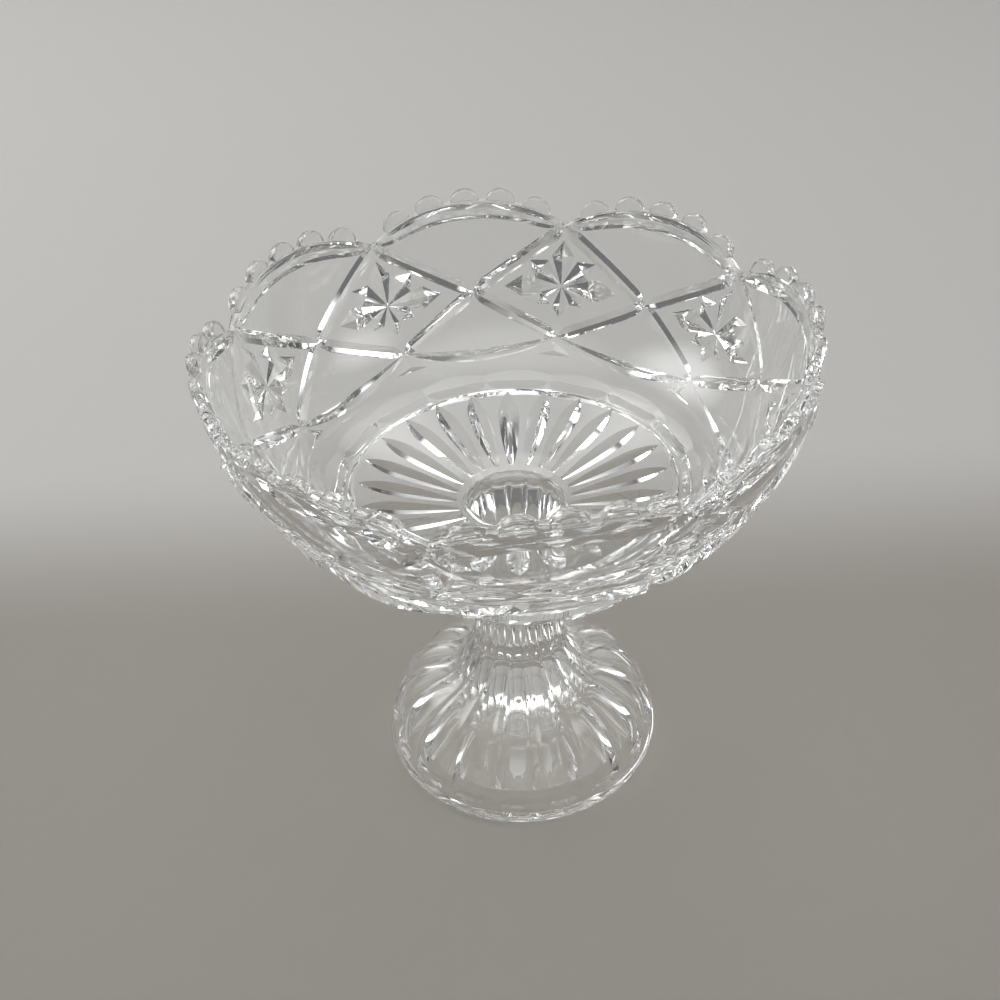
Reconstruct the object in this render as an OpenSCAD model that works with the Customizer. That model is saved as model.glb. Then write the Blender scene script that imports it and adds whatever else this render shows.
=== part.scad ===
// Footed compote bowl of clear pressed glass, in three pieces joined hot.
// The foot stands on the table at height zero and the bowl opens upward.
// Millimetres. The upright axis runs through the middle of the foot.

/* [Overall] */
// Height from the table to the tops of the middle rim beads
total_h = 197; // [190:1:204]
// Width across the top of the bowl, bead faces included
rim_d = 215.4; // [206:0.2:226]
// Number of rim lobes, with a dip between each two
lobe_count = 8; // [8:1:8]

/* [Bowl wall] */
// Width across the hip as a share of the rim's width
hip_width_share = 0.651; // [0.63:0.001:0.67]
// Slope of the side at the rim, away from upright
rim_lean = 9.5; // [8.5:0.5:10.5]
// Thickness of the side
wall_t = 5.5; // [5:0.1:6.5]
// Radius of the inside curve above the floor, as a share of the side's curve
inner_round_share = 0.3435; // [0.29:0.005:0.38]
// Thickness of the floor, straight up
floor_t = 8; // [7:0.2:9.5]
// Rise of the underside for each unit of width
under_slope_share = 0.3; // [0.26:0.01:0.33]

/* [Rim] */
// Height of a lobe's edge above the dips as a share of the bowl's depth
lobe_rise_share = 0.1304; // [0.105:0.005:0.15]
// Radius of each round bead on the edge
bead_r = 6.3; // [5.4:0.1:6.8]
// Height of a bead above the lobe's edge
bead_rise = 4.8; // [4:0.1:5.4]
// Angle between beads as a share of the lobe's half angle
bead_step_share = 0.3427; // [0.31:0.005:0.36]
// Number of beads on each lobe
bead_count = 5; // [5:1:5]
// Depth of the sunk band below the edge
band_depth = 1; // [0.6:0.1:1.2]
// Width of the sunk band
band_w = 2.8; // [2:0.1:3.4]
// Distance of the sunk band from the edge
band_gap = 3.6; // [3:0.1:4.4]

/* [Diamond pattern] */
// Depth of the upper crossing points below the dips as a share of the side's height
top_cross_share = 0.0414; // [0.03:0.005:0.07]
// Depth of the side crossing points below the dips as a share of the side's height
side_cross_share = 0.3865; // [0.36:0.005:0.41]
// Depth of the lower crossing points below the dips as a share of the side's height
low_cross_share = 0.6396; // [0.62:0.005:0.66]
// Depth at which the straight grooves start under the surface
groove_sink = 0.7; // [0.3:0.1:1]
// Half width of the groove cutter
groove_r = 6; // [4:0.5:8]
// Depth of the star's cuts at its middle
star_depth = 1.9; // [1.2:0.1:2.2]
// Half length of a star's level cut as a share of the diamond's half width
star_long_share = 0.65; // [0.54:0.01:0.7]
// Half length of a star's other cuts as a share of the diamond's half height
star_short_share = 0.667; // [0.56:0.01:0.72]
// Drop of a star's middle as a share of the diamond's half height
star_drop_share = 0.06; // [0.03:0.01:0.1]
// Lean of a star's slanting cuts
star_lean = 48; // [42:1:54]
// Depth of the crescents below the diamonds
swag_depth = 1; // [0.6:0.1:1.3]
// Drop of a crescent below its two ends as a share of the side's height
swag_drop_share = 0.138; // [0.122:0.002:0.154]
// Width of a crescent at its middle as a share of its drop
swag_width_share = 0.444; // [0.34:0.01:0.55]

/* [Underside] */
// Radius of the flat boss that the wafer joins
boss_r = 22; // [20.5:0.5:23.5]
// Height of the hip above the boss as a share of the side's height
hip_rise_share = 0.1304; // [0.115:0.005:0.145]
// Width of the sloped ring face at the hip
hip_w = 5; // [4:0.5:6]
// Height of the ring's lowest edge as a share of the hip's height
ring_rise_share = 0.706; // [0.6:0.01:0.76]
// Width of the ring's lowest face
ring_w = 2.4; // [1.6:0.2:3]
// Width of the ring's inner side
ring_side_w = 3.5; // [3:0.5:4.5]
// Number of flat faces round the ring
ring_faces = 16; // [16:1:16]
// Depth of each flat face at its middle
ring_face_depth = 0.6; // [0.4:0.1:0.9]
// Number of narrow cuts round the underside
ray_count = 24; // [24:1:24]
// Depth of a ray at its outer end
ray_depth = 1.8; // [1:0.1:2.2]

/* [Wafer] */
// Thickness of the joining wafer
wafer_t = 4.5; // [3.5:0.5:5.5]
// Radius of the wafer
wafer_r = 20; // [19:0.5:20.5]

/* [Stem and foot] */
// Height of the stem's flat top
stem_h = 112; // [106:1:118]
// Radius of the stem
stem_r = 17.8; // [16.8:0.2:18.6]
// Radius of the stem's flared top
flare_r = 21.5; // [20.5:0.5:22.5]
// Radius of the curve under the flare
flare_curve_r = 14; // [11:1:16]
// Width across the foot's rounded edge
foot_d = 111.2; // [104:0.4:118]
// Radius of the foot's rounded edge
foot_edge_r = 4; // [3.5:0.1:4.5]
// Step from the rounded edge in to the domed curve
foot_lip = 1; // [0.6:0.1:1.4]
// Radius of the foot's domed curve
dome_r = 34.6; // [32:0.2:36]
// Height of the middle of the domed curve
dome_mid_h = 3.7; // [3:0.1:5]
// Radius of the neck's hollow curve
neck_r = 24.5; // [21:0.5:27]
// Number of flutes round the stem and foot
flute_count = 18; // [18:1:18]
// Radius of a flute's scoop on the dome
flute_dome_r = 18; // [15:1:21]
// Height at which a flute ends at the foot's edge
flute_toe_h = 9; // [8:0.5:11]
// Angle from a flute's toe to its deepest point
flute_toe_turn = 15; // [12:1:18]
// Depth of a flute low on the dome
flute_low_depth = 2.4; // [1.6:0.1:2.8]
// Depth of a flute high on the dome
flute_high_depth = 1.1; // [0.8:0.1:1.4]
// Radius of a flute's scoop on the neck and stem
flute_stem_r = 10; // [8:0.5:12]
// Depth of a flute on the stem
flute_stem_depth = 0.5; // [0.3:0.1:0.7]
// Width of the flat ring that the foot rests on
rest_w = 5.6; // [4.6:0.2:6.6]
// Depth of the hollow under the foot
hollow_h = 12; // [10:0.5:14]
// Radius of the hollow's flat top
hollow_top_r = 24; // [20:1:28]
// Height of the hollow's outer side
hollow_side_h = 8; // [6:0.5:9]
// Radius of the small dimple at the hollow's middle
dimple_r = 2; // [1.5:0.1:3]

/* [Hidden] */
rim_r = rim_d / 2;
half_step = 180 / lobe_count;
base_z = stem_h + wafer_t;
lobe_rise = lobe_rise_share * (total_h - base_z);
lobe_top_z = total_h - bead_rise;
dip_z = lobe_top_z - lobe_rise;
side_h = dip_z - base_z;
hip_h = hip_rise_share * side_h;
ring_h = ring_rise_share * hip_h;
hip_z = base_z + hip_h;
hip_r = hip_width_share * rim_r;

// The side's circle leaves the rim at its lean and passes through the hip
wall_run = [hip_r - rim_r, hip_z - total_h];
wall_curve_r = wall_run * wall_run / (2 * wall_run * [-cos(rim_lean), sin(rim_lean)]);
wall_mid_x = rim_r - wall_curve_r * cos(rim_lean);
wall_mid_z = total_h + wall_curve_r * sin(rim_lean);
inner_curve_r = wall_curve_r - wall_t;
inner_round_r = inner_round_share * wall_curve_r;
core_r = max(boss_r, wall_mid_x);
cut_over = 5;
groove_over = 2;
crown_back = 20;
skin_back = 35;
round_reach_share = 1.3;
joint_over = 0.02;
curve_fn = 96;
small_fn = 48;
square_fn = 4;

function wall_x(z) = wall_mid_x + sqrt(pow(wall_curve_r, 2) - pow(wall_mid_z - z, 2));
function wall_lift(z) = asin((wall_mid_z - z) / wall_curve_r);
function wall_point(turn, z, sink) = let (lift = wall_lift(z), out = wall_x(z) - sink * cos(lift))
    [out * cos(turn), out * sin(turn), z + sink * sin(lift)];

// Middle of the circle through three points
function circle_mid(a, b, c) = let (
    u = b - a,
    v = c - b,
    p = u * (a + b) / 2,
    q = v * (b + c) / 2,
    d = u[0] * v[1] - u[1] * v[0])
    [(p * v[1] - q * u[1]) / d, (u[0] * q - v[0] * p) / d];

ring_z = base_z + ring_h;
ring_out_r = hip_r - hip_w;
ring_in_r = ring_out_r - ring_w;
valley_r = ring_in_r - ring_side_w;
valley_z = base_z + under_slope_share * (valley_r - boss_r);
hip_slope = atan((hip_h - ring_h) / hip_w);
wide_r = rim_r + cut_over;

floor_slope = atan(under_slope_share);
round_mid_off = inner_curve_r - inner_round_r;
floor_mid_z = base_z + floor_t - under_slope_share * boss_r;
round_line_z = floor_mid_z + inner_round_r / cos(floor_slope);
quad_b = under_slope_share * (round_line_z - wall_mid_z) - wall_mid_x;
quad_a = 1 + pow(under_slope_share, 2);
quad_c = pow(wall_mid_x, 2) + pow(round_line_z - wall_mid_z, 2) - pow(round_mid_off, 2);
round_x = (-quad_b + sqrt(pow(quad_b, 2) - quad_a * quad_c)) / quad_a;
round_z = round_line_z + under_slope_share * round_x;
touch_floor = [round_x + inner_round_r * sin(floor_slope), round_z - inner_round_r * cos(floor_slope)];
round_dir = [round_x - wall_mid_x, round_z - wall_mid_z] / round_mid_off;
touch_wall = [wall_mid_x, wall_mid_z] + round_dir * inner_curve_r;
round_mid = [round_x, round_z];
round_down = touch_floor - round_mid;
round_out = touch_wall - round_mid;

half_chord = rim_r * sin(half_step);
lobe_r = (pow(half_chord, 2) + pow(lobe_rise, 2)) / (2 * lobe_rise);
lobe_mid_z = lobe_top_z - lobe_r;
crown_z = dip_z - cut_over;
crown_in_x = rim_r - crown_back;
lobe_half_w = half_chord + joint_over;
bead_step = bead_step_share * asin(half_chord / lobe_r);

top_z = dip_z - top_cross_share * side_h;
side_z = dip_z - side_cross_share * side_h;
low_z = dip_z - low_cross_share * side_h;
diamond_half_h = (top_z - low_z) / 2;
star_z = (top_z + low_z) / 2 - star_drop_share * diamond_half_h;
star_long = star_long_share * wall_x(star_z) * sin(half_step);
star_short = star_short_share * diamond_half_h;
swag_drop = swag_drop_share * side_h;
swag_w = swag_width_share * swag_drop;
swag_half = wall_x(low_z) * sin(half_step) + groove_over;
swag_r = (pow(swag_half, 2) + pow(swag_drop, 2)) / (2 * swag_drop);
swag_up = swag_drop - swag_w;
swag_up_r = (pow(swag_half, 2) + pow(swag_up, 2)) / (2 * swag_up);

foot_edge_x = foot_d / 2 - foot_edge_r;
dome_mid_x = foot_d / 2 - foot_lip - dome_r;
neck_mid_x = stem_r + neck_r - joint_over;
neck_mid_z = dome_mid_h + sqrt(pow(dome_r + neck_r - joint_over, 2) - pow(neck_mid_x - dome_mid_x, 2));
flare_mid_x = stem_r - joint_over + flare_curve_r;
flare_mid_z = stem_h - sqrt(pow(flare_curve_r, 2) - pow(flare_mid_x - flare_r, 2));
rest_in_r = foot_edge_x - rest_w;
dome_mid = [dome_mid_x, dome_mid_h];
join_turn = atan2(neck_mid_z - dome_mid_h, neck_mid_x - dome_mid_x);
toe_turn = asin((flute_toe_h - dome_mid_h) / dome_r);
low_turn = toe_turn + flute_toe_turn;
flute_a = dome_mid + dome_r * [cos(toe_turn), sin(toe_turn)];
flute_b = dome_mid + (dome_r - flute_low_depth) * [cos(low_turn), sin(low_turn)];
flute_c = dome_mid + (dome_r - flute_high_depth) * [cos(join_turn), sin(join_turn)];
flute_mid = circle_mid(flute_a, flute_b, flute_c);
flute_path_r = norm(flute_a - flute_mid) + flute_dome_r;
flute_from = atan2(flute_a[1] - flute_mid[1], flute_a[0] - flute_mid[0]) - low_turn;
flute_to = atan2(flute_c[1] - flute_mid[1], flute_c[0] - flute_mid[0]);
neck_run = flute_c - [stem_r - flute_stem_depth, neck_mid_z];
neck_flute_r = (pow(neck_run[0], 2) + pow(neck_run[1], 2)) / (2 * neck_run[0]);
neck_flute_x = stem_r - flute_stem_depth + neck_flute_r;
neck_flute_turn = atan2(-neck_run[1], neck_flute_r - neck_run[0]);

glass_tint = [0.86, 0.9, 0.89, 0.45];

// Half section within one of the side's curves, filled in to the axis
module within_side(curve_r) {
    translate([wall_mid_x, wall_mid_z]) circle(r = curve_r, $fn = curve_fn);
    translate([0, base_z]) square([core_r, total_h - base_z + cut_over]);
}

// Half section of the bowl's outside, from the boss to above the rim
module bowl_outside() {
    intersection() {
        within_side(wall_curve_r);
        polygon([
            [0, base_z],
            [boss_r, base_z],
            [valley_r, valley_z],
            [ring_in_r, ring_z],
            [ring_out_r, ring_z],
            [wide_r, ring_z + (wide_r - ring_out_r) * tan(hip_slope)],
            [wide_r, total_h + cut_over],
            [0, total_h + cut_over]
        ]);
    }
}

// Half section of the room inside the bowl
module bowl_inside() {
    difference() {
        intersection() {
            within_side(inner_curve_r);
            polygon([
                [0, floor_mid_z + under_slope_share * boss_r],
                [boss_r, floor_mid_z + under_slope_share * boss_r],
                [wide_r, floor_mid_z + under_slope_share * wide_r],
                [wide_r, total_h + cut_over],
                [0, total_h + cut_over]
            ]);
        }
        difference() {
            polygon([
                round_mid,
                round_mid + round_down * round_reach_share,
                round_mid + round_down + round_out,
                round_mid + round_out * round_reach_share
            ]);
            translate(round_mid) circle(r = inner_round_r, $fn = curve_fn);
        }
    }
}

// One lobe of the rim seen from the side, with its beads
module lobe_face() {
    intersection() {
        translate([0, lobe_mid_z]) circle(r = lobe_r, $fn = curve_fn);
        translate([-lobe_half_w, crown_z - cut_over])
            square([2 * lobe_half_w, lobe_rise + 2 * cut_over]);
    }
    for (step = [0:bead_count - 1])
        translate([0, lobe_mid_z])
            rotate((step - (bead_count - 1) / 2) * bead_step)
                translate([0, lobe_r + bead_rise - bead_r])
                    circle(r = bead_r, $fn = small_fn);
}

// Turns a face drawn from the side so that it points out of the bowl
module outward(turn) {
    rotate(turn)
        translate([crown_in_x, 0, 0])
            rotate([90, 0, 90])
                linear_extrude(wide_r - crown_in_x)
                    children();
}

module crown() {
    cylinder(r = wide_r, h = crown_z, $fn = curve_fn);
    for (turn = [0:lobe_count - 1])
        outward((2 * turn + 1) * half_step) lobe_face();
}

// A straight cutter with a sharp edge from one point to another, run on past both
module groove(from, to, out_dir, size, over) {
    run = to - from;
    len = norm(run) + 2 * over;
    tilt = acos(run[2] / norm(run));
    swing = atan2(run[1], run[0]);
    side = [-sin(swing), cos(swing), 0];
    face = [cos(tilt) * cos(swing), cos(tilt) * sin(swing), -sin(tilt)];
    roll = atan2(out_dir * side, out_dir * face);
    translate((from + to) / 2 + out_dir * size)
        rotate([0, tilt, swing])
            rotate(roll)
                cylinder(r = size, h = len, center = true, $fn = square_fn);
}

function out_dir(turn, z) = let (lift = wall_lift(z)) [cos(lift) * cos(turn), cos(lift) * sin(turn), -sin(lift)];

module lattice() {
    for (turn = [0:lobe_count - 1]) {
        mid_turn = 2 * turn * half_step;
        for (side = [-1, 1]) {
            side_turn = mid_turn + side * half_step;
            groove(wall_point(mid_turn, top_z, groove_sink), wall_point(side_turn, side_z, groove_sink),
                out_dir((mid_turn + side_turn) / 2, (top_z + side_z) / 2), groove_r, groove_over);
            groove(wall_point(side_turn, side_z, groove_sink), wall_point(mid_turn, low_z, groove_sink),
                out_dir((mid_turn + side_turn) / 2, (side_z + low_z) / 2), groove_r, groove_over);
        }
    }
}

module stars() {
    lift = wall_lift(star_z);
    for (turn = [0:lobe_count - 1])
        rotate(2 * turn * half_step)
            translate(wall_point(0, star_z, star_depth))
                rotate([0, lift, 0]) {
                    star_cut(0, star_long);
                    star_cut(90, star_short);
                    star_cut(star_lean, star_short);
                    star_cut(-star_lean, star_short);
                }
}

module star_cut(lean, half_len) {
    rotate([lean, 0, 0])
        translate([groove_r, 0, 0])
            rotate([90, 0, 0])
                cylinder(r = groove_r, h = 2 * half_len, center = true, $fn = square_fn);
}

// A thin skin at the outer face of the side, as deep as asked
module outer_skin(depth) {
    rotate_extrude($fn = curve_fn)
        intersection() {
            translate([rim_r - skin_back, base_z]) square([rim_r, total_h - base_z + cut_over]);
            difference() {
                translate([wall_mid_x, wall_mid_z]) circle(r = wall_curve_r + depth, $fn = curve_fn);
                translate([wall_mid_x, wall_mid_z]) circle(r = wall_curve_r - depth, $fn = curve_fn);
            }
        }
}

// Sunk band that follows the edge of each lobe
module rim_bands() {
    intersection() {
        outer_skin(band_depth);
        for (turn = [0:lobe_count - 1])
            outward((2 * turn + 1) * half_step)
                intersection() {
                    translate([0, lobe_mid_z]) difference() {
                        circle(r = lobe_r - band_gap, $fn = curve_fn);
                        circle(r = lobe_r - band_gap - band_w, $fn = curve_fn);
                    }
                    translate([-half_chord + 2 * band_w, top_z]) square([2 * half_chord - 4 * band_w, total_h - top_z]);
                }
    }
}

module swags() {
    intersection() {
        outer_skin(swag_depth);
        for (turn = [0:lobe_count - 1])
            rotate((2 * turn + 1) * half_step)
                translate([boss_r, 0, 0])
                    rotate([90, 0, 90])
                        linear_extrude(rim_r)
                            difference() {
                                translate([0, low_z - swag_drop + swag_r]) circle(r = swag_r, $fn = curve_fn);
                                translate([0, low_z - swag_up + swag_up_r]) circle(r = swag_up_r, $fn = curve_fn);
                            }
    }
}

module ring_flats() {
    for (turn = [0:ring_faces - 1])
        rotate((turn + 0.5) * 360 / ring_faces)
            translate([ring_out_r - ring_face_depth / sin(hip_slope), 0, ring_z])
                rotate([0, -hip_slope, 0])
                    translate([-cut_over, -hip_r / 4, -crown_back])
                        cube([crown_back, hip_r / 2, crown_back]);
}

module rays() {
    start = [boss_r, 0, base_z + joint_over];
    end = [valley_r, 0, valley_z + ray_depth];
    for (turn = [0:ray_count - 1])
        rotate(turn * 360 / ray_count)
            groove(start, end, [sin(floor_slope), 0, -cos(floor_slope)], groove_r, 0);
}

module bowl() {
    color(glass_tint)
        difference() {
            intersection() {
                rotate_extrude($fn = curve_fn)
                    difference() {
                        bowl_outside();
                        bowl_inside();
                    }
                crown();
            }
            lattice();
            stars();
            rim_bands();
            swags();
            ring_flats();
            rays();
        }
}

module joining_wafer() {
    color(glass_tint)
        translate([0, 0, stem_h])
            rotate_extrude($fn = curve_fn) {
                square([wafer_r - wafer_t / 2, wafer_t]);
                intersection() {
                    translate([wafer_r - wafer_t / 2, wafer_t / 2]) circle(r = wafer_t / 2, $fn = small_fn);
                    square([wafer_r + cut_over, wafer_t]);
                }
            }
}

// Half section of the stem and foot, hollow left out
module foot_side() {
    intersection() {
        union() {
            translate([dome_mid_x, dome_mid_h]) circle(r = dome_r, $fn = curve_fn);
            translate([foot_edge_x, foot_edge_r]) circle(r = foot_edge_r, $fn = small_fn);
            difference() {
                polygon([[0, 0], [dome_mid_x, dome_mid_h], [neck_mid_x, neck_mid_z], [0, neck_mid_z]]);
                translate([neck_mid_x, neck_mid_z]) circle(r = neck_r, $fn = curve_fn);
            }
            square([stem_r, stem_h]);
            square([foot_edge_x, foot_edge_r]);
            difference() {
                translate([0, flare_mid_z]) square([flare_r, stem_h - flare_mid_z]);
                translate([flare_mid_x, flare_mid_z]) circle(r = flare_curve_r, $fn = curve_fn);
            }
        }
        square([foot_d, stem_h]);
    }
}

module foot_hollow() {
    rotate_extrude($fn = curve_fn) {
        polygon([
            [0, -cut_over],
            [rest_in_r, -cut_over],
            [rest_in_r, 0],
            [rest_in_r - hollow_side_h / 2, hollow_side_h],
            [hollow_top_r, hollow_h],
            [dimple_r, hollow_h],
            [0, hollow_h + dimple_r / 2]
        ]);
    }
}

module flutes() {
    for (turn = [0:flute_count - 1])
        rotate(turn * 360 / flute_count) {
            translate([flute_mid[0], 0, flute_mid[1]])
                rotate([90, 0, 0])
                    rotate(flute_from)
                        rotate_extrude(angle = flute_to - flute_from, $fn = curve_fn)
                            translate([flute_path_r, 0]) circle(r = flute_dome_r, $fn = small_fn);
            translate([neck_flute_x, 0, neck_mid_z])
                rotate([90, 0, 0])
                    rotate(180)
                        rotate_extrude(angle = neck_flute_turn, $fn = curve_fn)
                            translate([neck_flute_r - flute_stem_r, 0]) circle(r = flute_stem_r, $fn = small_fn);
            translate([stem_r + flute_stem_r - flute_stem_depth, 0, neck_mid_z])
                cylinder(r = flute_stem_r, h = flare_mid_z - neck_mid_z, $fn = small_fn);
        }
}

module stem_and_foot() {
    color(glass_tint)
        difference() {
            rotate_extrude($fn = curve_fn) foot_side();
            foot_hollow();
            flutes();
        }
}

bowl();
joining_wafer();
stem_and_foot();
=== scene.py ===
import bpy, bmesh, math
from mathutils import Matrix, Vector


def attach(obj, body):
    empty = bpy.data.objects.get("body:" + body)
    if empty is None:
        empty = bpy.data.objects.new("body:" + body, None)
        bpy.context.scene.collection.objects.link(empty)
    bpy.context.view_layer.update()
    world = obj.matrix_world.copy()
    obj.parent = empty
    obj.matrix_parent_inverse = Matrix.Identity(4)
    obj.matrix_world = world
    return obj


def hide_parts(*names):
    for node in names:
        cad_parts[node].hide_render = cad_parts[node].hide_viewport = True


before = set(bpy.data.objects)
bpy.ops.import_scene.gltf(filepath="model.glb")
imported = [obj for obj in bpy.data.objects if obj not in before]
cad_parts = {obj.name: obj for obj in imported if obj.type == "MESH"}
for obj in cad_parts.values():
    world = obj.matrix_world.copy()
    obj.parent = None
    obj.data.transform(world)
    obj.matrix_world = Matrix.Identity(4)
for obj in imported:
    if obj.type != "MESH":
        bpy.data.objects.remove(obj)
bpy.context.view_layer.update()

scene = bpy.context.scene
scene.view_settings.view_transform = "Standard"
# light crosses many faces of thick pressed glass
scene.cycles.max_bounces = 32
scene.cycles.transmission_bounces = 28
scene.cycles.glossy_bounces = 28
scene.cycles.transparent_max_bounces = 24

# the camera is fitted to the ovals of the rim and the foot: lens and sensor in mm, tilts in radians,
# distances in metres, and the turn about the bowl's upright axis in degrees
cameraView = dict(lens=46.8, sensor=36, pitch=0.66338, roll=-0.04748, yaw=-0.01351, back=0.3801,
                  height=0.4172, turn=14.15, nearest=0.01)


def makeCamera(view):
    cosPitch, sinPitch = math.cos(view["pitch"]), math.sin(view["pitch"])
    forward = Vector((math.sin(view["yaw"]) * cosPitch, math.cos(view["yaw"]) * cosPitch, -sinPitch))
    right = Vector((math.cos(view["yaw"]), -math.sin(view["yaw"]), 0))
    up = right.cross(forward)
    cosRoll, sinRoll = math.cos(view["roll"]), math.sin(view["roll"])
    leanRight, leanUp = right * cosRoll + up * sinRoll, up * cosRoll - right * sinRoll
    place = Matrix((leanRight, leanUp, -forward)).transposed().to_4x4()
    place.translation = Vector((0, -view["back"], view["height"]))
    data = bpy.data.cameras.new("photoCamera")
    data.sensor_width, data.lens, data.clip_start = view["sensor"], view["lens"], view["nearest"]
    camera = bpy.data.objects.new("photoCamera", data)
    camera.matrix_world = Matrix.Rotation(math.radians(view["turn"]), 4, "Z") @ place
    scene.collection.objects.link(camera)
    scene.camera = camera


makeCamera(cameraView)
print("camera placed")


# pieces are made in millimetres, and finishPiece brings them to metres
weldReach, millimetre = 0.001, 0.001


def vertsOf(geom):
    return [g for g in geom if isinstance(g, bmesh.types.BMVert)]


def arcFrom(bm, vert, centre, degrees, steps):  # the centre is a radius and a height
    made = bmesh.ops.spin(bm, geom=[vert], cent=(centre[0], 0, centre[1]), axis=(0, 1, 0),
                          angle=-math.radians(degrees), steps=steps, use_merge=False)
    return vertsOf(made["geom_last"])[0]


def lineTo(bm, vert, point, steps=1):
    stride = (Vector((point[0], 0, point[1])) - vert.co) / steps
    for _ in range(steps):
        vert = bmesh.ops.extrude_vert_indiv(bm, verts=[vert])["verts"][0]
        vert.co += stride
    return vert


def turnProfile(bm, steps):
    bmesh.ops.spin(bm, geom=bm.verts[:] + bm.edges[:], cent=(0, 0, 0), axis=(0, 0, 1),
                   angle=math.tau, steps=steps, use_merge=True)
    bmesh.ops.remove_doubles(bm, verts=bm.verts, dist=weldReach)
    bmesh.ops.recalc_face_normals(bm, faces=bm.faces)


def asObject(bm, name):  # the mesh becomes an object of its own
    mesh = bpy.data.meshes.new(name)
    bm.to_mesh(mesh)
    bm.free()
    piece = bpy.data.objects.new(name, mesh)
    scene.collection.objects.link(piece)
    return piece


def outwardObject(bm, name):
    bmesh.ops.recalc_face_normals(bm, faces=bm.faces)
    return asObject(bm, name)


def combine(piece, cutter, operation):  # joins a closed mesh to the piece, or cuts it away
    modifier = piece.modifiers.new("cut", "BOOLEAN")
    modifier.operation, modifier.solver, modifier.object = operation, "MANIFOLD", cutter
    before = len(piece.data.polygons)
    shaped = bpy.data.meshes.new_from_object(piece.evaluated_get(bpy.context.evaluated_depsgraph_get()))
    piece.modifiers.clear()
    piece.data = shaped
    bpy.data.objects.remove(cutter)
    print("  ", operation.lower(), before, "->", len(shaped.polygons), "faces")


def polar(distance, degrees):
    angle = math.radians(degrees)
    return Vector((distance * math.cos(angle), distance * math.sin(angle)))


def shares(steps):
    return [i / steps for i in range(steps + 1)]


# the bowl, in mm and degrees, with the floor's slope as rise over run
bowlShape = dict(
    top=197.0, rimRadius=107.7, wallCurve=131.0, rimLean=9.5, wall=5.5, innerRound=45.0,
    floor=8.0, slope=0.3, base=116.5, bossRadius=22.0, bossLift=0.1, contactRadius=17.75,
    dipHalfway=0.86, dipMiddle=0.82, hipRise=8.5, hipWidth=5.0, ringRise=6.0, ringWidth=2.4, ringSide=3.5,
    flats=16, flatDepth=0.9, flatBlock=20.0,
    lobes=8, lobeRise=10.5, lobeBelow=4.8, lobeCurve=2.3, lobesFrom=158.0, lobesOutside=80.0,
    beadRadius=6.2, beadRise=4.1, beadStep=9.8, beads=5, beadThick=4.2, beadRound=1.4,
    columns=288, sharp=14)

rimLean = math.radians(bowlShape["rimLean"])
# the middle of the wall's curve in a cut through the bowl, as radius and height
wallMid = Vector((bowlShape["rimRadius"] - bowlShape["wallCurve"] * math.cos(rimLean),
                  bowlShape["top"] + bowlShape["wallCurve"] * math.sin(rimLean)))
lobeStep = 360 / bowlShape["lobes"]
lobeTop = bowlShape["top"] - bowlShape["lobeBelow"]


def wallRadius(z, inset=0.0):
    reach = bowlShape["wallCurve"] - inset
    return wallMid[0] + math.sqrt(reach ** 2 - (wallMid[1] - z) ** 2)


def lobeEdge(degrees):  # height of the lobed edge at a direction, dips at multiples of the step
    share = abs((degrees / lobeStep) % 1.0 - 0.5) * 2
    return lobeTop - bowlShape["lobeRise"] * share ** bowlShape["lobeCurve"]


def wallFrame(degrees, z):  # place on the outer face, with the way out of the glass
    lift = math.asin((z - wallMid[1]) / bowlShape["wallCurve"])
    spot = polar(wallRadius(z), degrees)
    outward = polar(math.cos(lift), degrees)
    return Vector((spot[0], spot[1], z)), Vector((outward[0], outward[1], math.sin(lift)))


def onWall(point):  # nearest place on the outer face to a point near it
    radius = math.hypot(point[0], point[1])
    lift = math.atan2(point[2] - wallMid[1], radius - wallMid[0])
    direction = math.degrees(math.atan2(point[1], point[0]))
    return direction, wallMid[1] + bowlShape["wallCurve"] * math.sin(lift)


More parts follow.
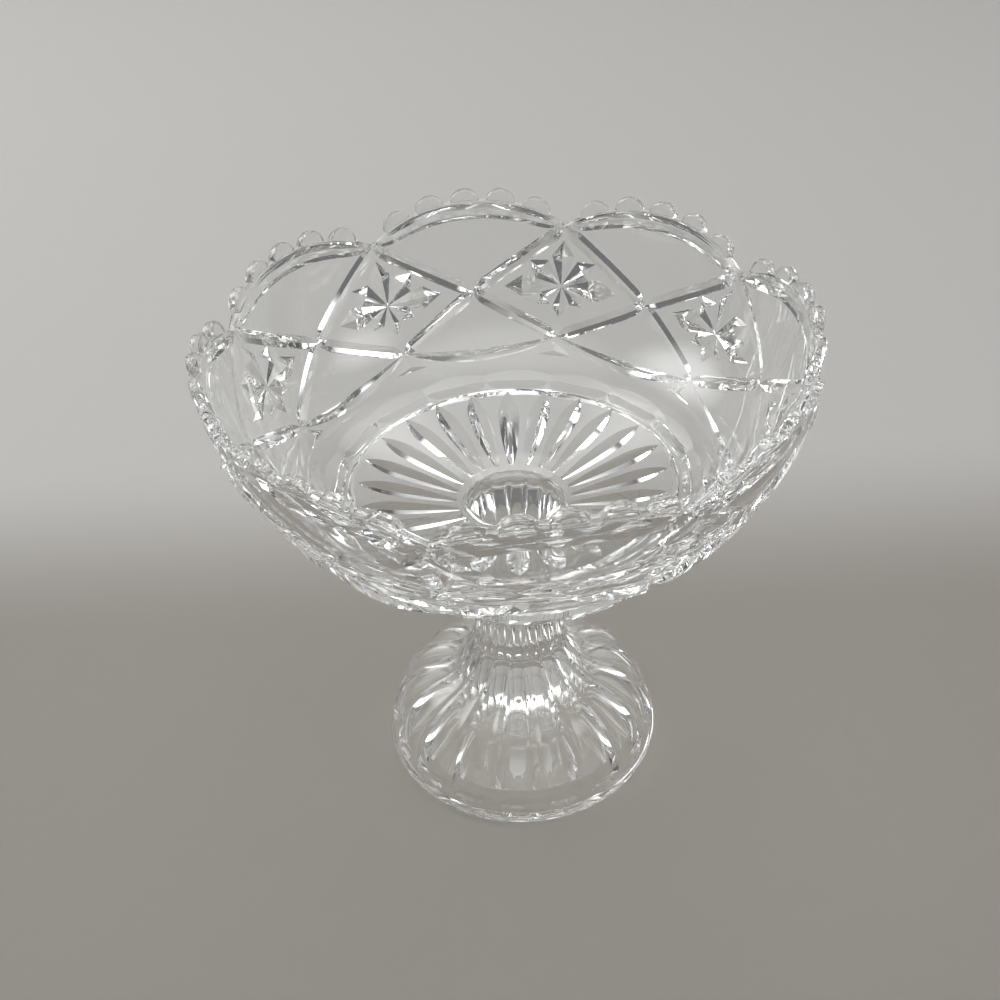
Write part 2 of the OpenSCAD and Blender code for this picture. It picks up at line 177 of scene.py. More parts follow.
def bowlBlank():
    s = bowlShape
    bm = bmesh.new()
    hipZ, ringZ = s["base"] + s["hipRise"], s["base"] + s["ringRise"]
    hipR = wallRadius(hipZ)
    ringOut = hipR - s["hipWidth"]
    ringIn = ringOut - s["ringWidth"]
    valley = ringIn - s["ringSide"]
    # half a cut through the bowl: out under the floor, up the wall, over the rim and down to the middle
    start = bmesh.ops.create_vert(bm, co=(0, 0, s["base"]))["vert"][0]
    vert = lineTo(bm, start, (s["contactRadius"], s["base"]), 4)
    vert = lineTo(bm, vert, (s["bossRadius"], s["base"] + s["bossLift"]), 2)
    vert = lineTo(bm, vert, (valley, s["base"] + s["slope"] * (valley - s["bossRadius"])), 14)
    vert = lineTo(bm, vert, (ringIn, ringZ), 3)
    vert = lineTo(bm, vert, (ringOut, ringZ), 2)
    vert = lineTo(bm, vert, (hipR, hipZ), 3)
    liftLow = math.degrees(math.asin((hipZ - wallMid[1]) / s["wallCurve"]))
    liftTop = math.degrees(math.asin((lobeTop - s["wall"] / 2 - wallMid[1]) / s["wallCurve"]))
    vert = arcFrom(bm, vert, wallMid, liftTop - liftLow, 46)
    lift = math.radians(liftTop)
    capMid = wallMid + (s["wallCurve"] - s["wall"] / 2) * Vector((math.cos(lift), math.sin(lift)))
    vert = arcFrom(bm, vert, capMid, 180, 10)
    inner = s["wallCurve"] - s["wall"]
    slope = math.atan(s["slope"])
    floorLine = s["base"] + s["floor"] - s["slope"] * s["bossRadius"]
    line = floorLine + s["innerRound"] / math.cos(slope)
    reach = inner - s["innerRound"]
    a, b = 1 + s["slope"] ** 2, s["slope"] * (line - wallMid[1]) - wallMid[0]
    c = wallMid[0] ** 2 + (line - wallMid[1]) ** 2 - reach ** 2
    midR = (-b + math.sqrt(b * b - a * c)) / a
    roundMid = Vector((midR, line + s["slope"] * midR))
    outTurn = math.degrees(math.atan2(roundMid[1] - wallMid[1], roundMid[0] - wallMid[0]))
    vert = arcFrom(bm, vert, wallMid, outTurn - liftTop, 26)
    vert = arcFrom(bm, vert, roundMid, -90 + math.degrees(slope) - outTurn, 22)
    bossRise = s["slope"] * s["bossRadius"]
    vert = lineTo(bm, vert, (s["bossRadius"], floorLine + bossRise), 12)
    vert = lineTo(bm, vert, (s["bossRadius"] / 2, floorLine + bossRise * s["dipHalfway"]), 3)
    lineTo(bm, vert, (0, floorLine + bossRise * s["dipMiddle"]), 3)
    turnProfile(bm, s["columns"])
    # the plain top is drawn down along the wall's own curve into lobes
    fixed = math.asin((s["lobesFrom"] - wallMid[1]) / s["wallCurve"])
    for vert in bm.verts:
        radius = math.hypot(vert.co.x, vert.co.y)
        turn = math.atan2(vert.co.z - wallMid[1], radius - wallMid[0])
        if turn > fixed and radius > s["lobesOutside"]:
            direction = math.degrees(math.atan2(vert.co.y, vert.co.x))
            edge = math.asin((lobeEdge(direction) - s["wall"] / 2 - wallMid[1]) / s["wallCurve"])
            moved = turn + edge - lift
            if turn < lift:
                moved = fixed + (turn - fixed) * (edge - fixed) / (lift - fixed)
            reach = math.hypot(vert.co.z - wallMid[1], radius - wallMid[0])
            spot = polar(wallMid[0] + reach * math.cos(moved), direction)
            vert.co = (spot[0], spot[1], wallMid[1] + reach * math.sin(moved))
    return outwardObject(bm, "bowlGlass")


def endEdges(verts):  # the edges round both flat ends of an upright cylinder
    return [e for e in dict.fromkeys(e for v in verts for e in v.link_edges)
            if abs(e.verts[0].co.z - e.verts[1].co.z) < 0.1]


def beadRing():  # the half-round tabs of every lobe
    s = bowlShape
    bm = bmesh.new()
    halfChord = s["rimRadius"] * math.sin(math.radians(lobeStep / 2))
    archRadius = (halfChord ** 2 + s["lobeRise"] ** 2) / (2 * s["lobeRise"])
    for lobe in range(s["lobes"]):
        for bead in range(s["beads"]):
            along = archRadius * math.sin(math.radians((bead - (s["beads"] - 1) / 2) * s["beadStep"]))
            direction = lobeStep * (lobe + 0.5) + math.degrees(math.asin(along / s["rimRadius"]))
            z = lobeEdge(direction) + s["beadRise"] - s["beadRadius"]
            spot, outward = wallFrame(direction, z)
            made = bmesh.ops.create_cone(bm, cap_ends=True, segments=36, radius1=s["beadRadius"],
                                         radius2=s["beadRadius"], depth=s["beadThick"])
            rounded = bmesh.ops.bevel(bm, geom=endEdges(made["verts"]), offset=s["beadRound"], segments=4,
                                      affect="EDGES", profile=0.5, material=-1)
            side = Vector((0, 0, 1)).cross(outward).normalized()
            place = Matrix((side, outward.cross(side), outward)).transposed().to_4x4()
            place.translation = spot - outward * s["wall"] / 2
            fresh = set(rounded["verts"]) | {v for v in made["verts"] if v.is_valid}
            bmesh.ops.transform(bm, matrix=place, verts=list(fresh))
    return outwardObject(bm, "beadRing")


def sweep(bm, stations):  # a closed bar with a diamond section through the stations
    made = bmesh.ops.create_circle(bm, cap_ends=True, segments=4, radius=1, matrix=stations[0])
    face = made["verts"][0].link_faces[0]
    for step, (here, there) in enumerate(zip(stations, stations[1:])):
        geom = bmesh.ops.extrude_face_region(bm, geom=[face])["geom"]
        if step and face.is_valid:
            bmesh.ops.delete(bm, geom=[face], context="FACES_ONLY")
        face = [g for g in geom if isinstance(g, bmesh.types.BMFace)][0]
        bmesh.ops.transform(bm, matrix=there @ here.inverted(), verts=vertsOf(geom))


barReach = 1.5  # a bar's section is this much larger than what shows, so that its sides are straight there


# the path holds (direction, z, width above, width below, depth), and a negative depth stands proud
def barOn(bm, path):
    places = [wallFrame(p[0], p[1]) for p in path]
    stations, lastSide = [], Vector((0, 0, 1))
    for i, (_, _, above, below, depth) in enumerate(path):
        spot, outward = places[i]
        along = (places[min(i + 1, len(path) - 1)][0] - places[max(i - 1, 0)][0]).normalized()
        side = outward.cross(along).normalized()
        side = -side if side @ lastSide < 0 else side
        lastSide = side
        middle, half = barReach / 2 * (above - below), barReach / 2 * (above + below)
        first, second = side * half, outward * barReach * depth + side * middle
        station = Matrix((first, second, along)).transposed().to_4x4()
        station.translation = spot + outward * (barReach - 1) * depth + side * middle
        stations.append(station)
    sweep(bm, stations)


# the pattern in mm: crossings are heights on the wall, and halves, heights and depths belong to the fullest
# place of a bar, which its tip share and curve bring down to pointed ends
patternShape = dict(
    topCross=180.0, sideCross=156.5, lowCross=140.0, barHalf=2.65, barHeight=2.25, barTip=0.12, barSteps=18,
    thinnest=0.012, tipCurve=0.7,
    starZ=157.6, starSlope=0.77, starNotch=0.66, starThin=0.02, starSteps=20,
    starCuts=(((0, 19.0), (0, -12.5), 0.39), ((-23.5, 0), (23.5, 0), 0.32),
              ((-13.0, 10.6), (9.8, -7.2), 0.43), ((13.0, 10.6), (-9.8, -7.2), 0.43)),
    archNear=2.6, archFar=6.6, archEnds=1.2, archBlend=5, archHalf=1.8, archDepth=1.4, archTip=0.1,
    archSteps=44,
    swagDrop=6.4, swagAbove=2.8, swagBelow=2.9, swagHeight=2.55, swagThin=0.01, lowCurve=0.6,
    heightCurve=0.7, swagSteps=40,
    wedgeTop=139.0, wedgeLow=133.2, wedgeHalf=7.3, wedgeDepth=1.7, wedgeMiddle=1.6, wedgeOver=0.05,
    wedgeOut=3,
    edgeReach=2.4, edgeHalf=1.7, edgeDepth=1.6, edgeTip=0.14, edgeSteps=12,
    rays=24, rayInner=22.0, rayOuter=58.0, rayHalf=4.0, rayHeight=2.7, rayWidest=0.68, rayStart=0.22,
    rayEnd=0.8, raySteps=18)


def leaf(share, tip):  # how full a bar is along its length, with pointed ends
    fullness = min(1.0, share / tip, (1 - share) / tip)
    return max(patternShape["thinnest"], fullness ** patternShape["tipCurve"])


def chordPath(start, end):  # straight from one crossing to the next
    p = patternShape
    first, last = wallFrame(*start)[0], wallFrame(*end)[0]
    path = []
    for share in shares(p["barSteps"]):
        direction, z = onWall(first.lerp(last, share))
        grow = leaf(share, p["barTip"])
        path.append((direction, z, p["barHalf"] * grow, p["barHalf"] * grow, -p["barHeight"] * grow))
    return path


def latticeBars(side, upper):
    p = patternShape
    bm = bmesh.new()
    for lobe in range(bowlShape["lobes"]):
        middle = lobe * lobeStep
        high = (middle, p["topCross"]) if upper else (middle, p["lowCross"])
        barOn(bm, chordPath(high, (middle + side * lobeStep / 2, p["sideCross"])))
    return outwardObject(bm, "latticeBars")


def starCutter(start, end, spread):  # two opposite kites of each star, tips measured from its middle
    p = patternShape
    bm = bmesh.new()
    middleLift = math.asin((p["starZ"] - wallMid[1]) / bowlShape["wallCurve"])
    for lobe in range(bowlShape["lobes"]):
        path = []
        for share in shares(p["starSteps"]):
            x, y = Vector(start).lerp(Vector(end), share)
            z = wallMid[1] + bowlShape["wallCurve"] * math.sin(middleLift + y / bowlShape["wallCurve"])
            arm = (Vector(start) if Vector((x, y)) @ Vector(start) > 0 else Vector(end)).length
            reach = Vector((x, y)).length / arm
            grow = max(p["starThin"], min(reach / p["starNotch"], (1 - reach) / (1 - p["starNotch"])))
            half = spread * p["starNotch"] * arm * grow
            path.append((lobe * lobeStep + math.degrees(x / wallRadius(p["starZ"])), z,
                         half, half, p["starSlope"] * half))
        barOn(bm, path)
    return outwardObject(bm, "starCutter")


def archCutter(first, offset):  # a fine line that follows each lobe at this distance below its edge
    p = patternShape
    bm = bmesh.new()
    for lobe in range(first, bowlShape["lobes"], 2):
        path = []
        for share in shares(p["archSteps"]):
            direction = lobeStep * (lobe + share)
            fade = 1 - abs(2 * share - 1) ** p["archBlend"]
            grow = leaf(share, p["archTip"])
            path.append((direction, lobeEdge(direction) - p["archEnds"] - (offset - p["archEnds"]) * fade,
                         p["archHalf"] * grow, p["archHalf"] * grow, p["archDepth"] * grow))
        barOn(bm, path)
    return outwardObject(bm, "archCutter")


def swagBars(first):  # every second hanging crescent between the lower crossings
    p = patternShape
    bm = bmesh.new()
    for lobe in range(first, bowlShape["lobes"], 2):
        path = []
        for share in shares(p["swagSteps"]):
            bow = max(p["swagThin"], 1 - (2 * share - 1) ** 2)
            below, height = p["swagBelow"] * bow ** p["lowCurve"], p["swagHeight"] * bow ** p["heightCurve"]
            path.append((lobeStep * (lobe + share), p["lowCross"] - p["swagDrop"] * bow,
                         p["swagAbove"] * bow, below, -height))
        barOn(bm, path)
    return outwardObject(bm, "swagBars")


def wedgeCutter():  # a small sunk triangle under each lower crossing, between the swags' tips
    p = patternShape
    bm = bmesh.new()
    outline = ((0, p["wedgeTop"]), (p["wedgeHalf"], p["wedgeLow"]), (-p["wedgeHalf"], p["wedgeLow"]))
    for lobe in range(bowlShape["lobes"]):
        spot, outward = wallFrame(lobe * lobeStep, p["wedgeLow"] + p["wedgeMiddle"])
        radius = math.hypot(spot[0], spot[1])
        ring = bmesh.ops.create_circle(bm, cap_ends=True, segments=3, radius=1)["verts"]
        for vert, (x, z) in zip(ring, outline):
            place = wallFrame(lobe * lobeStep + math.degrees(x / radius), z)[0]
            vert.co = place + outward * p["wedgeOver"]
        face = ring[0].link_faces[0]
        low = bmesh.ops.extrude_face_region(bm, geom=[face])["geom"]
        bmesh.ops.translate(bm, vec=outward * p["wedgeOut"], verts=vertsOf(low))
        flat = [f for f in ring[0].link_faces if all(v in ring for v in f.verts)]
        centre = bmesh.ops.poke(bm, faces=flat)["verts"][0]
        centre.co = spot - outward * p["wedgeDepth"]
    return outwardObject(bm, "wedgeCutter")


def flatCutter(first):  # every second one of the flats that give the ring its straight sides
    s = bowlShape
    bm = bmesh.new()
    slope = math.atan((s["hipRise"] - s["ringRise"]) / s["hipWidth"])
    ringOut = wallRadius(s["base"] + s["hipRise"]) - s["hipWidth"]
    for flat in range(first, s["flats"], 2):
        box = bmesh.ops.create_cube(bm, size=1)["verts"]
        bmesh.ops.scale(bm, vec=(s["flatBlock"], ringOut / 2, s["flatBlock"]), verts=box)
        bmesh.ops.translate(bm, vec=(s["flatBlock"] / 4, 0, -s["flatBlock"] / 2), verts=box)
        bmesh.ops.rotate(bm, cent=(0, 0, 0), matrix=Matrix.Rotation(-slope, 3, "Y"), verts=box)
        bmesh.ops.translate(bm, verts=box,
                            vec=(ringOut - s["flatDepth"] / math.sin(slope), 0, s["base"] + s["ringRise"]))
        turn = Matrix.Rotation(math.radians((flat + 0.5) * 360 / s["flats"]), 3, "Z")
        bmesh.ops.rotate(bm, cent=(0, 0, 0), matrix=turn, verts=box)
    return outwardObject(bm, "flatCutter")


def edgeCutter(first):  # short straight cuts that turn the ring's outer edge into a polygon
    s, p = bowlShape, patternShape
    bm = bmesh.new()
    slope = (s["hipRise"] - s["ringRise"]) / s["hipWidth"]
    ringOut = wallRadius(s["base"] + s["hipRise"]) - s["hipWidth"]
    reach = ringOut + p["edgeReach"]
    for flat in range(first, s["flats"], 2):
        start, end = polar(reach, flat * 360 / s["flats"]), polar(reach, (flat + 1) * 360 / s["flats"])
        along = (end - start).normalized()
        stations = []
        for share in shares(p["edgeSteps"]):
            spot = start.lerp(end, share)
            grow = leaf(share, p["edgeTip"])
            sink = s["flatDepth"] + slope * (reach * math.cos(math.pi / s["flats"]) - ringOut)
            half, depth = p["edgeHalf"] * grow, p["edgeDepth"] * grow
            station = Matrix(((along[1], -along[0], 0), (0, 0, 1), (along[0], along[1], 0))).transposed()
            station = station.to_4x4() @ Matrix.Diagonal((barReach * half, barReach * depth, 1, 1))
            station.translation = Vector((spot[0], spot[1],
                                          s["base"] + s["ringRise"] + sink - (barReach - 1) * depth))
            stations.append(station)
        sweep(bm, stations)
    return outwardObject(bm, "edgeCutter")


def rayBars():  # the sunburst of raised leaves under the floor
    s, p = bowlShape, patternShape
    bm = bmesh.new()
    tilt = math.atan(s["slope"])
    for ray in range(p["rays"]):
        direction = ray * 360 / p["rays"]
        turn = Matrix.Rotation(math.radians(direction), 4, "Z")
        stations = []
        for share in shares(p["raySteps"]):
            radius = p["rayInner"] + (p["rayOuter"] - p["rayInner"]) * share
            rise, fall = share / p["rayWidest"], (1 - share) / (1 - p["rayWidest"])
            if rise < 1:
                grow = p["rayStart"] + (1 - p["rayStart"]) * math.sin(math.pi / 2 * rise)
            else:
                grow = math.sin(math.pi / 2 * fall) ** p["rayEnd"]
            grow = max(p["thinnest"], grow)
            place = Matrix.Translation((radius, 0, s["base"] + s["slope"] * (radius - s["bossRadius"])))
            height, half = p["rayHeight"] * grow, p["rayHalf"] * grow
            shape = Matrix(((0, 0, 1), (1, 0, 0), (0, 1, 0))).to_4x4()
            lift = Matrix.Translation((0, 0, (barReach - 1) * height))
            stations.append(turn @ place @ Matrix.Rotation(-tilt, 4, "Y") @ lift @ shape
                            @ Matrix.Diagonal((barReach * half, barReach * height, 1, 1)))
        sweep(bm, stations)
    return outwardObject(bm, "rayBars")


def makeBowl():
    piece = bowlBlank()
    combine(piece, beadRing(), "UNION")
    for upper in (True, False):
        for side in (-1, 1):
            combine(piece, latticeBars(side, upper), "UNION")
    for start, end, spread in patternShape["starCuts"]:
        combine(piece, starCutter(start, end, spread), "DIFFERENCE")
    combine(piece, wedgeCutter(), "DIFFERENCE")
    for first in (0, 1):
        combine(piece, archCutter(first, patternShape["archNear"]), "DIFFERENCE")
        combine(piece, archCutter(first, patternShape["archFar"]), "DIFFERENCE")
        combine(piece, swagBars(first), "UNION")
        combine(piece, flatCutter(first), "DIFFERENCE")
        combine(piece, edgeCutter(first), "DIFFERENCE")
    combine(piece, rayBars(), "UNION")
    return piece


# the wafer of glass that joins bowl and stem, in mm
waferShape = dict(low=112.0, high=116.5, radius=20.0, columns=288, sharp=40)


def makeWafer():
    w = waferShape
    bm = bmesh.new()
    edge = (w["high"] - w["low"]) / 2
    vert = bmesh.ops.create_vert(bm, co=(0, 0, w["low"]))["vert"][0]
    vert = lineTo(bm, vert, (w["radius"] - edge, w["low"]), 4)
    vert = arcFrom(bm, vert, (w["radius"] - edge, w["low"] + edge), 180, 12)
    lineTo(bm, vert, (0, w["high"]), 4)
    turnProfile(bm, w["columns"])
    return asObject(bm, "waferGlass")


# the stem and foot, in mm, with the flutes' depths along the height
footShape = dict(
    stemTop=112.0, stemRadius=17.8, flareRadius=21.5, flareCurve=14.0, flareRound=0.8, flareLow=1.4,
    contactRadius=17.75, width=111.2, edgeRadius=4.0, lip=1.0, domeRadius=34.6, domeMid=3.7, neckRadius=24.5,
    restWidth=5.6, restRound=0.7, hollow=12.0, hollowTop=24.0, hollowSide=8.0, hollowFall=0.3, dimple=2.0,
    sharp=14)
fluteShape = dict(
    flutes=18, columns=16, panel=0.875, fromTop=1.0, fullFromTop=10.0, stemDepth=0.6, stemLow=58.0,
    highDepth=1.3, shoulder=35.0, lowDepth=2.4, lowOver=18.0, toe=8.6, toeBow=3.0, toeRise=3.2,
    aboveHollow=2.0, belowToe=1.0)


def ease(share):
    return share * share * (3 - 2 * share)


def fluteDepth(z, share):  # how far the scooped face lies inside the ridge's round surface
    f = fluteShape
    across = 1 - min(1.0, abs(share) / f["panel"]) ** 3
    fromTop = footShape["stemTop"] - z
    if fromTop < f["fullFromTop"]:
        start = max(0.0, (fromTop - f["fromTop"]) / (f["fullFromTop"] - f["fromTop"]))
        return f["stemDepth"] * across * start
    if z > f["stemLow"]:
        return f["stemDepth"] * across
    if z > f["shoulder"]:
        blend = (f["stemLow"] - z) / (f["stemLow"] - f["shoulder"])
        return (f["stemDepth"] + (f["highDepth"] - f["stemDepth"]) * ease(blend)) * across
    rise = min(1.0, (f["shoulder"] - z) / f["lowOver"])
    deep = f["highDepth"] + (f["lowDepth"] - f["highDepth"]) * ease(rise)
    toe = max(0.0, min(1.0, (z - f["toe"] - f["toeBow"] * share * share) / f["toeRise"]))
    return deep * across * math.sqrt(1 - (1 - toe) ** 2)


def makeFoot():
    f = footShape
    bm = bmesh.new()
    edgeX = f["width"] / 2 - f["edgeRadius"]
    domeMid = Vector((f["width"] / 2 - f["lip"] - f["domeRadius"], f["domeMid"]))
    neckX = f["stemRadius"] + f["neckRadius"]
    neckZ = domeMid[1] + math.sqrt((f["domeRadius"] + f["neckRadius"]) ** 2 - (neckX - domeMid[0]) ** 2)
    join = math.degrees(math.atan2(neckZ - domeMid[1], neckX - domeMid[0]))
    flareX = f["stemRadius"] + f["flareCurve"]
    flareZ = f["stemTop"] - math.sqrt(f["flareCurve"] ** 2 - (flareX - f["flareRadius"]) ** 2)
    # the foot's round edge meets the domed curve at the last degree that still lies outside it
    edgeMid = Vector((edgeX, f["edgeRadius"]))
    meet = max(t for t in range(91)
               if (edgeMid + polar(f["edgeRadius"], t) - domeMid).length > f["domeRadius"])
    meetZ = edgeMid[1] + f["edgeRadius"] * math.sin(math.radians(meet))
    domeLow = math.degrees(math.asin((meetZ - domeMid[1]) / f["domeRadius"]))
    restIn = edgeX - f["restWidth"]
    # half a cut through the piece: down the stem, over the dome, round the edge and up into the hollow
    vert = bmesh.ops.create_vert(bm, co=(0, 0, f["stemTop"]))["vert"][0]
    vert = lineTo(bm, vert, (f["contactRadius"], f["stemTop"]), 4)
    vert = lineTo(bm, vert, (f["flareRadius"] - f["flareRound"], f["stemTop"]), 2)
    vert = arcFrom(bm, vert, (f["flareRadius"] - f["flareRound"], f["stemTop"] - f["flareRound"]), -90, 3)
    flareTurn = math.degrees(math.asin((f["stemTop"] - f["flareLow"] - flareZ) / f["flareCurve"]))
    flareStart = polar(f["flareCurve"], 180 - flareTurn)
    vert = lineTo(bm, vert, (flareX + flareStart[0], flareZ + flareStart[1]))
    vert = arcFrom(bm, vert, (flareX, flareZ), flareTurn, 12)
    vert = lineTo(bm, vert, (f["stemRadius"], neckZ), 24)
    vert = arcFrom(bm, vert, (neckX, neckZ), join, 26)
    vert = arcFrom(bm, vert, domeMid, domeLow - join, 60)
    vert = arcFrom(bm, vert, (edgeX, f["edgeRadius"]), -meet - 90, 18)
    vert = lineTo(bm, vert, (restIn + f["restRound"], 0), 2)
    vert = arcFrom(bm, vert, (restIn + f["restRound"], f["restRound"]), -80, 3)
    vert = lineTo(bm, vert, (restIn - f["hollowSide"] / 2, f["hollowSide"]), 6)
    vert = lineTo(bm, vert, (f["hollowTop"], f["hollow"]), 8)
    vert = lineTo(bm, vert, (f["dimple"], f["hollow"] - f["hollowFall"]), 8)
    lineTo(bm, vert, (0, f["hollow"] + f["dimple"] / 2), 2)
    turnProfile(bm, fluteShape["flutes"] * fluteShape["columns"])
    bm.normal_update()
    # the round surface is scooped into flutes, and the hollow stays as it is
    step = 360 / fluteShape["flutes"]
    overHollow, overToe = f["hollow"] + fluteShape["aboveHollow"], fluteShape["toe"] - fluteShape["belowToe"]
    outside = [v for v in bm.verts if v.co.z > overHollow or (v.co.z > overToe and v.co.xy.length > restIn)]
    moves = []
    for vert in outside:
        share = ((math.degrees(math.atan2(vert.co.y, vert.co.x)) / step + 0.5) % 1.0 - 0.5) * 2
        moves.append((vert, vert.normal * -fluteDepth(vert.co.z, share)))
    for vert, move in moves:
        vert.co += move
    return asObject(bm, "footGlass")


# the glass: ripples of pressing, and faint dull patches of handling
glassFinish = dict(ior=1.52, gloss=0.012, dull=0.05, rippleScale=55.0, rippleDetail=1.5, ripple=0.05,
                   rippleHeight=0.002, hazeScale=38, hazeDetail=5, hazeFrom=0.5, hazeTo=0.8,
                   paleTint=(0.985, 0.99, 0.987, 1), deepTint=(0.955, 0.97, 0.962, 1), shadowClear=0.94)


def makePressedSurface(finish):
    group = bpy.data.node_groups.new("pressedSurface", "ShaderNodeTree")
    face = group.interface
    face.new_socket(name="Place", in_out="INPUT", socket_type="NodeSocketVector")
    for name in ("Scale", "Gloss", "Dull"):
        face.new_socket(name=name, in_out="INPUT", socket_type="NodeSocketFloat")
    face.new_socket(name="Ripple", in_out="OUTPUT", socket_type="NodeSocketFloat")
    face.new_socket(name="Roughness", in_out="OUTPUT", socket_type="NodeSocketFloat")
    face.new_socket(name="Tint", in_out="OUTPUT", socket_type="NodeSocketColor")
    nodes, links = group.nodes, group.links
    start, end = nodes.new("NodeGroupInput"), nodes.new("NodeGroupOutput")
    wave = nodes.new("ShaderNodeTexNoise")
    wave.inputs["Detail"].default_value = finish["rippleDetail"]
    links.new(start.outputs["Place"], wave.inputs["Vector"])
    links.new(start.outputs["Scale"], wave.inputs["Scale"])
    links.new(wave.outputs["Fac"], end.inputs["Ripple"])
    haze = nodes.new("ShaderNodeTexNoise")
    haze.inputs["Scale"].default_value = finish["hazeScale"]
    haze.inputs["Detail"].default_value = finish["hazeDetail"]
    links.new(start.outputs["Place"], haze.inputs["Vector"])
    spread = nodes.new("ShaderNodeMapRange")
    spread.inputs["From Min"].default_value = finish["hazeFrom"]
    spread.inputs["From Max"].default_value = finish["hazeTo"]
    links.new(haze.outputs["Fac"], spread.inputs["Value"])
    links.new(start.outputs["Gloss"], spread.inputs["To Min"])
    links.new(start.outputs["Dull"], spread.inputs["To Max"])
    links.new(spread.outputs["Result"], end.inputs["Roughness"])
    tone = nodes.new("ShaderNodeMix")
    tone.data_type = "RGBA"
    tone.inputs[6].default_value, tone.inputs[7].default_value = finish["paleTint"], finish["deepTint"]
    links.new(haze.outputs["Fac"], tone.inputs[0])
    links.new(tone.outputs[2], end.inputs["Tint"])
    return group


pressedSurface = makePressedSurface(glassFinish)


def makeGlass(name, finish):
    material = bpy.data.materials.new(name)
    material.use_nodes = True
    nodes, links = material.node_tree.nodes, material.node_tree.links
    shader = nodes["Principled BSDF"]
    shader.inputs["Transmission Weight"].default_value = 1.0
    shader.inputs["IOR"].default_value = finish["ior"]
    shader.inputs["Metallic"].default_value = 0.0
    place = nodes.new("ShaderNodeTexCoord")
    surface = nodes.new("ShaderNodeGroup")
    surface.node_tree = pressedSurface
    surface.inputs["Scale"].default_value = finish["rippleScale"]
    surface.inputs["Gloss"].default_value = finish["gloss"]
    surface.inputs["Dull"].default_value = finish["dull"]
    links.new(place.outputs["Object"], surface.inputs["Place"])
    links.new(surface.outputs["Roughness"], shader.inputs["Roughness"])
    links.new(surface.outputs["Tint"], shader.inputs["Base Color"])
    bump = nodes.new("ShaderNodeBump")
    bump.inputs["Strength"].default_value = finish["ripple"]
    bump.inputs["Distance"].default_value = finish["rippleHeight"]
    links.new(surface.outputs["Ripple"], bump.inputs["Height"])
    links.new(bump.outputs["Normal"], shader.inputs["Normal"])
    # light reaches the floor through the glass
    rays = nodes.new("ShaderNodeLightPath")
    clear = nodes.new("ShaderNodeMath")
    clear.operation = "MULTIPLY_ADD"
    links.new(rays.outputs["Is Shadow Ray"], clear.inputs[0])
    clear.inputs[1].default_value = -finish["shadowClear"]
    clear.inputs[2].default_value = 1.0
    links.new(clear.outputs["Value"], shader.inputs["Alpha"])
    return material


def makeJoint():  # the fused faces, where the glass runs on without a break
    material = bpy.data.materials.new("fusedJoint")
    material.use_nodes = True
    material.node_tree.nodes["Principled BSDF"].inputs["Alpha"].default_value = 0.0
    return material


clearGlass = makeGlass("clearGlass", glassFinish)
fusedJoint = makeJoint()
print("glass ready")


def inJoint(face, joints):
    middle = face.calc_center_median()
    inside = math.hypot(middle.x, middle.y) < bowlShape["contactRadius"]
    return inside and any(abs(middle.z - z) < 0.01 for z in joints)


def finishPiece(piece, node, joints, sharp):  # joints are the heights of the faces fused to a neighbour
    mesh = piece.data
    mesh.materials.clear()
    mesh.materials.append(clearGlass)
    mesh.materials.append(fusedJoint)
    bm = bmesh.new()
    bm.from_mesh(mesh)
    for face in bm.faces:
        face.material_index = int(inJoint(face, joints))
        face.smooth = True
    openEdges = sum(1 for e in bm.edges if len(e.link_faces) != 2)
    bmesh.ops.scale(bm, vec=(millimetre, millimetre, millimetre), verts=bm.verts)
    bm.to_mesh(mesh)
    bm.free()
    mesh.set_sharp_from_angle(angle=math.radians(sharp))
    mesh.calc_loop_triangles()
    print(piece.name, len(mesh.loop_triangles), "triangles, open edges", openEdges)
    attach(piece, "root")
    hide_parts(node)


bowlGlass = makeBowl()
finishPiece(bowlGlass, "bowl", (bowlShape["base"],), bowlShape["sharp"])
waferGlass = makeWafer()
finishPiece(waferGlass, "joining_wafer", (waferShape["low"], waferShape["high"]), waferShape["sharp"])
footGlass = makeFoot()
finishPiece(footGlass, "stem_and_foot", (footShape["stemTop"],), footShape["sharp"])


# the floor bends up into the wall behind, in metres, and darkTo and paleFrom are where its tone changes
stageLook = dict(floor=(0.285, 0.265, 0.24, 1), wall=(0.50, 0.49, 0.475, 1), darkTo=0.06, paleFrom=0.2,
                 roughness=0.75, depth=1.6, front=7.0, width=14.0, rise=3.0, bend=0.5, bendSteps=16)


def makeStage(look):
    bm = bmesh.new()
    start = bmesh.ops.create_vert(bm, co=(0, -look["front"], 0))["vert"][0]
    first = bmesh.ops.extrude_vert_indiv(bm, verts=[start])["verts"][0]
    first.co.y = look["depth"] - look["bend"]
    made = bmesh.ops.spin(bm, geom=[first], cent=(0, look["depth"] - look["bend"], look["bend"]),
                          axis=(1, 0, 0), angle=math.radians(90), steps=look["bendSteps"], use_merge=False)
    last = vertsOf(made["geom_last"])[0]
    top = bmesh.ops.extrude_vert_indiv(bm, verts=[last])["verts"][0]
    top.co.z = look["rise"]
    strip = bmesh.ops.extrude_edge_only(bm, edges=bm.edges[:])["geom"]
    bmesh.ops.translate(bm, vec=(look["width"], 0, 0), verts=vertsOf(strip))
    bmesh.ops.translate(bm, vec=(-look["width"] / 2, 0, 0), verts=bm.verts)
    for face in bm.faces:
        face.smooth = True
    # the stage faces the camera
    turn = math.radians(cameraView["turn"])
    bmesh.ops.rotate(bm, cent=(0, 0, 0), matrix=Matrix.Rotation(turn, 3, "Z"), verts=bm.verts)
    floor = asObject(bm, "floorAndWall")
    floor.data.materials.append(makeFloorPaint(look, turn))


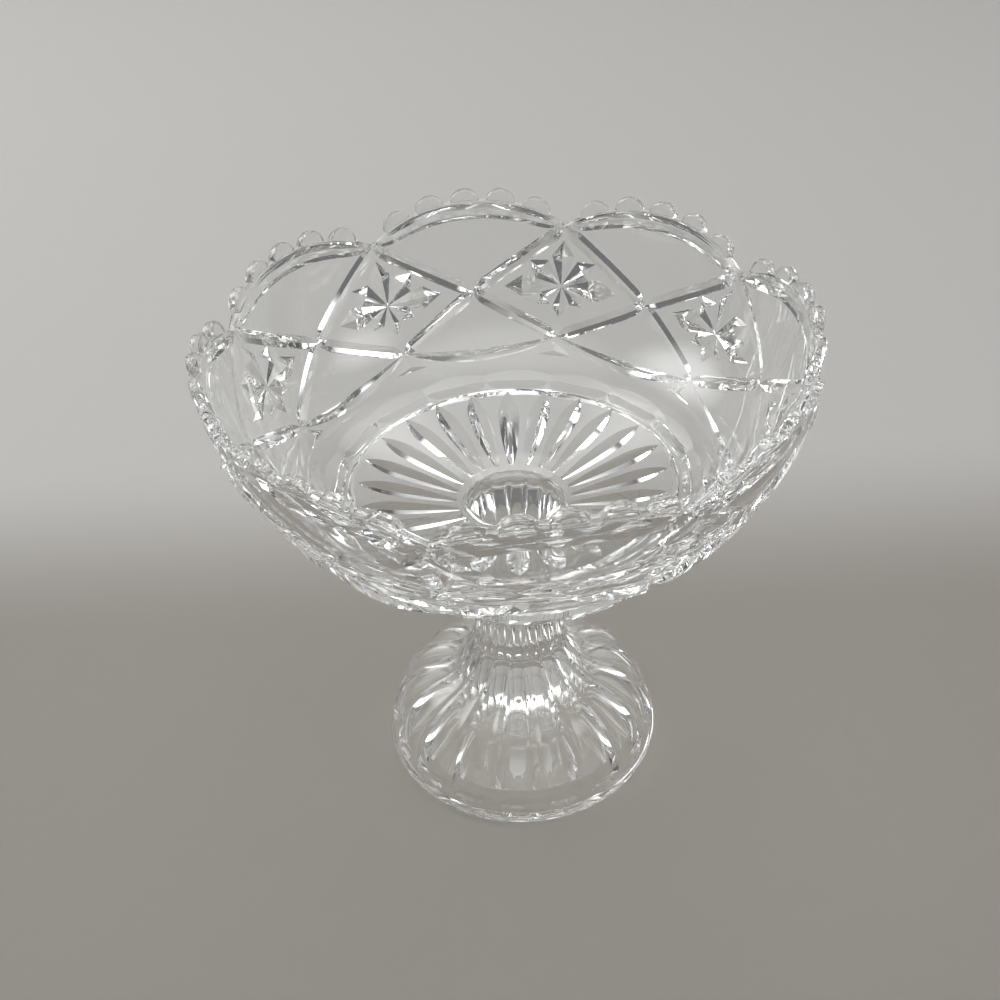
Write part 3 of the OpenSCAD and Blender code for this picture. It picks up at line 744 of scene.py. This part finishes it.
def makeFloorPaint(look, turn):
    material = bpy.data.materials.new("paleFloor")
    material.use_nodes = True
    nodes, links = material.node_tree.nodes, material.node_tree.links
    shader = nodes["Principled BSDF"]
    shader.inputs["Roughness"].default_value = look["roughness"]
    place, parts = nodes.new("ShaderNodeTexCoord"), nodes.new("ShaderNodeSeparateXYZ")
    facing = nodes.new("ShaderNodeMapping")
    facing.inputs["Rotation"].default_value = (0, 0, -turn)
    back = nodes.new("ShaderNodeMapRange")
    back.interpolation_type = "SMOOTHSTEP"
    back.inputs["From Min"].default_value = look["darkTo"]
    back.inputs["From Max"].default_value = look["paleFrom"]
    tone = nodes.new("ShaderNodeMix")
    tone.data_type = "RGBA"
    tone.inputs[6].default_value, tone.inputs[7].default_value = look["floor"], look["wall"]
    links.new(place.outputs["Object"], facing.inputs["Vector"])
    links.new(facing.outputs["Vector"], parts.inputs["Vector"])
    links.new(parts.outputs["Y"], back.inputs["Value"])
    links.new(back.outputs["Result"], tone.inputs[0])
    links.new(tone.outputs[2], shader.inputs["Base Color"])
    return material


# soft panels of light that look at the bowl's middle: power in watts, sizes and places in metres
lampPanels = dict(
    windowLeft=dict(power=34, size=(1.9, 2.2), place=(-1.7, 0.3, 1.5)),
    windowRight=dict(power=12, size=(1.5, 1.6), place=(1.7, 0.2, 1.4)),
    ceiling=dict(power=27, size=(3.2, 3.2), place=(0.1, -0.1, 2.4)),
    windowBack=dict(power=9, size=(2.4, 1.2), place=(-0.3, 1.3, 1.75)))
lampFade = dict(darkAt=0.5, fullAt=0.12, glow=2.2, target=(0, 0, 0.12))
roomLight = dict(colour=(0.8, 0.81, 0.82, 1), strength=0.19)


def makeLamp(name, power, size, place):  # a panel that fades toward its edge
    data = bpy.data.lights.new(name, "AREA")
    data.shape, data.size, data.size_y, data.energy = "RECTANGLE", size[0], size[1], power
    data.use_nodes = True
    nodes, links = data.node_tree.nodes, data.node_tree.links
    face, glow = nodes.new("ShaderNodeNewGeometry"), nodes["Emission"]
    middle = nodes.new("ShaderNodeVectorMath")
    middle.operation = "SUBTRACT"
    middle.inputs[1].default_value = (0.5, 0.5, 0)
    away = nodes.new("ShaderNodeVectorMath")
    away.operation = "LENGTH"
    fade = nodes.new("ShaderNodeMapRange")
    fade.interpolation_type = "SMOOTHSTEP"
    fade.inputs["From Min"].default_value = lampFade["darkAt"]
    fade.inputs["From Max"].default_value = lampFade["fullAt"]
    fade.inputs["To Min"].default_value, fade.inputs["To Max"].default_value = 0.0, lampFade["glow"]
    links.new(face.outputs["Parametric"], middle.inputs[0])
    links.new(middle.outputs["Vector"], away.inputs[0])
    links.new(away.outputs["Value"], fade.inputs["Value"])
    links.new(fade.outputs["Result"], glow.inputs["Strength"])
    lamp = bpy.data.objects.new(name, data)
    lamp.location = place
    lamp.rotation_euler = (Vector(place) - Vector(lampFade["target"])).to_track_quat("Z", "Y").to_euler()
    scene.collection.objects.link(lamp)


makeStage(stageLook)
for name, panel in lampPanels.items():
    makeLamp(name, panel["power"], panel["size"], panel["place"])
world = bpy.data.worlds.new("room")
world.use_nodes = True
world.node_tree.nodes["Background"].inputs["Color"].default_value = roomLight["colour"]
world.node_tree.nodes["Background"].inputs["Strength"].default_value = roomLight["strength"]
scene.world = world
print("stage and light ready")
